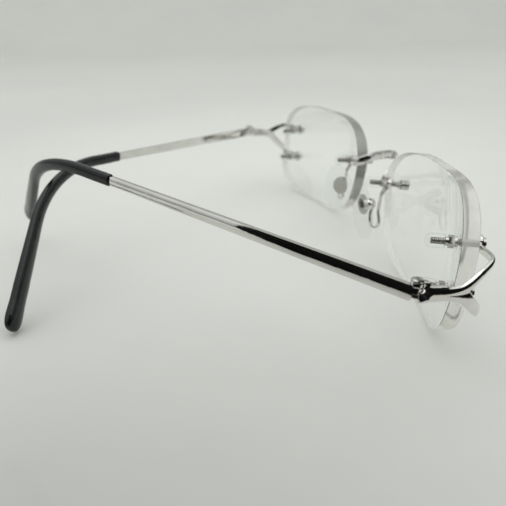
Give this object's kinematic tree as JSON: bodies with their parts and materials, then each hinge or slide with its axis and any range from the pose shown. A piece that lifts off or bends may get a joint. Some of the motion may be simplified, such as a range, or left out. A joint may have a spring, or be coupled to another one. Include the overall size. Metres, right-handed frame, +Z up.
{
  "type": "rimless eyeglasses",
  "caption": "Rimless eyeglasses with drilled clear lenses, arched bridge, forked endpieces, slim bars with dark sleeves and clear nose pads, half folded",
  "frame": {"origin": "on the resting plane, in the mid-plane between the lenses, under the front surface of the lenses at their centres", "axes": "+X to the wearer's left, +Y from the lenses towards the ears, +Z up, square to the resting plane"},
  "size_m": [0.1404, 0.1058, 0.0328],
  "materials": {
    "lens": "clear, polished front and back, finely ground bevelled edge",
    "polished_metal": "bright polished nickel-silver",
    "satin_metal": "turned, slightly dull threads and nuts",
    "dark_sleeve": "glossy near-black",
    "clear_silicone": "soft clear silicone, slightly cloudy",
    "clear_plastic": "clear moulded plastic"
  },
  "bodies": {
    "front": {"lens_left": "lens", "lens_right": "lens", "outer_screws": "satin_metal", "inner_screws": "satin_metal", "outer_nuts": "satin_metal", "inner_nuts": "satin_metal", "outer_washers": "clear_plastic", "inner_washers": "clear_plastic", "stud_caps": "clear_plastic", "bridge": "polished_metal", "pad_box_left": "polished_metal", "pad_box_right": "polished_metal", "pad_screws": "satin_metal", "pad_arm_left": "polished_metal", "pad_arm_right": "polished_metal", "endpiece_left": "polished_metal", "endpiece_right": "polished_metal", "hinge_screw_left": "polished_metal", "hinge_screw_right": "polished_metal"},
    "temple_right": {"temple_right": "polished_metal", "hinge_leaf_right": "polished_metal", "temple_tip_right": "dark_sleeve"},
    "temple_left": {"temple_left": "polished_metal", "hinge_leaf_left": "polished_metal", "temple_tip_left": "dark_sleeve"},
    "pad_right": {"pad_core_right": "satin_metal", "nose_pad_right": "clear_silicone"},
    "pad_left": {"pad_core_left": "satin_metal", "nose_pad_left": "clear_silicone"}
  },
  "joints": [
    {"name": "temple_right_fold", "type": "hinge", "parent": "front", "child": "temple_right", "pos_m": [-0.0681, 0.023, 0.02065], "axis": [0, 0.1316, -0.9913], "range_deg": [-44.8, 40]},
    {"name": "temple_left_fold", "type": "hinge", "parent": "front", "child": "temple_left", "pos_m": [0.0681, 0.023, 0.02065], "axis": [0, -0.1316, 0.9913], "range_deg": [-46.61, 41.62]},
    {"name": "pad_right_rock", "type": "hinge", "parent": "front", "child": "pad_right", "pos_m": [-0.0106, 0.0065, 0.0152], "axis": [0.5592, -0.829, 0], "range_deg": [-6, 6]},
    {"name": "pad_left_rock", "type": "hinge", "parent": "front", "child": "pad_left", "pos_m": [0.0106, 0.0065, 0.0152], "axis": [-0.5592, -0.829, 0], "range_deg": [-6, 6]}
  ],
  "couplings": [
    {"joint": "temple_left_fold", "follows": "temple_right_fold", "ratio": 1.0402}
  ]
}
